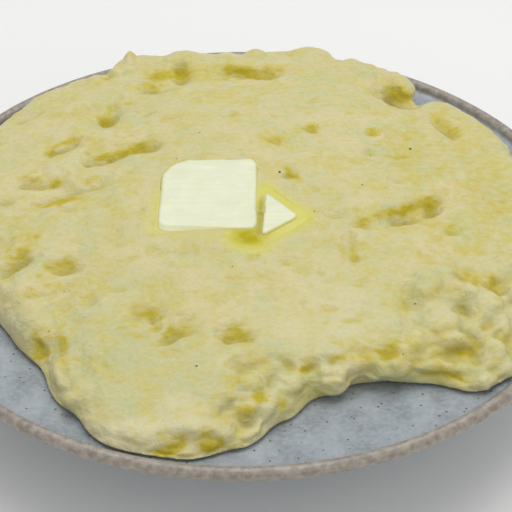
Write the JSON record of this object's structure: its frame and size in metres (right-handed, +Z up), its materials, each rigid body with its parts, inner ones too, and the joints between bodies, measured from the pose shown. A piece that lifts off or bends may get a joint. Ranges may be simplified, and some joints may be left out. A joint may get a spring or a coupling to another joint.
{
  "type": "mashed potato side in a bowl",
  "caption": "Heap of mashed potato in a wide-rimmed stoneware bowl, with a slice of butter and a small cut corner of butter melting into its top.",
  "frame": {"origin": "on the bowl's axis at the level of the table, under the middle of its foot ring", "axes": "+Z up along the bowl's axis, +X to the diner's right, the diner and the low front lobe of the heap at -Y"},
  "size_m": [0.2398, 0.2398, 0.0628],
  "materials": {
    "bowl_glaze": "satin blue-grey glaze, brown where it thins over the rim",
    "potato": "moist, matte, pale yellow mash",
    "butter": "smooth, softly waxy butter"
  },
  "bodies": {
    "root": {"bowl": "bowl_glaze", "mash": "potato", "butter_slice": "butter", "butter_corner": "butter"}
  },
  "joints": []
}
